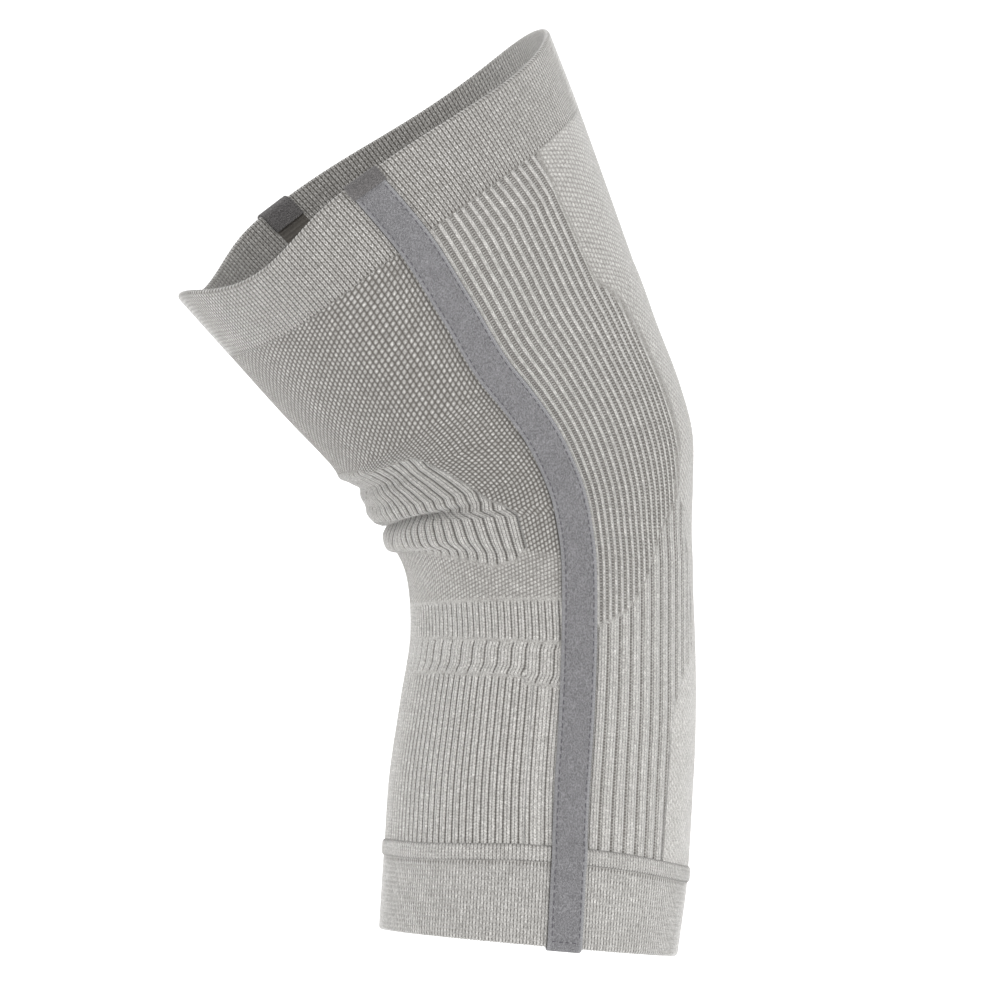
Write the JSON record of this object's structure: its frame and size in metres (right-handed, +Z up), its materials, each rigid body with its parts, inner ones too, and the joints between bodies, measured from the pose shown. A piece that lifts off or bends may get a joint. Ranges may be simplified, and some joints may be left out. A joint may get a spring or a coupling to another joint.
{
  "type": "knee sleeve",
  "caption": "Knitted compression sleeve in the shape of a bent knee, with ribbed panels, folds behind the knee, double cuffs and a soft tape along each side.",
  "frame": {"origin": "on the sleeve's axis in the middle of the knee's bend, where the wearer's knee joint sits", "axes": "+X forward to the kneecap, +Z up, +Y to the far side of the sleeve; the XZ plane is the plane of symmetry"},
  "size_m": [0.2011, 0.156, 0.3575],
  "materials": {
    "knit": "matte melange knit",
    "cuff": "matte melange knit",
    "tape": "brushed velour",
    "cap": "brushed velour, darker"
  },
  "bodies": {
    "root": {"knit_body": "knit", "upper_cuff": "cuff", "lower_cuff": "cuff", "lower_welt": "cuff", "side_tape_outer": "tape", "side_tape_inner": "tape", "tape_cap_outer": "cap", "tape_cap_inner": "cap"}
  },
  "joints": []
}
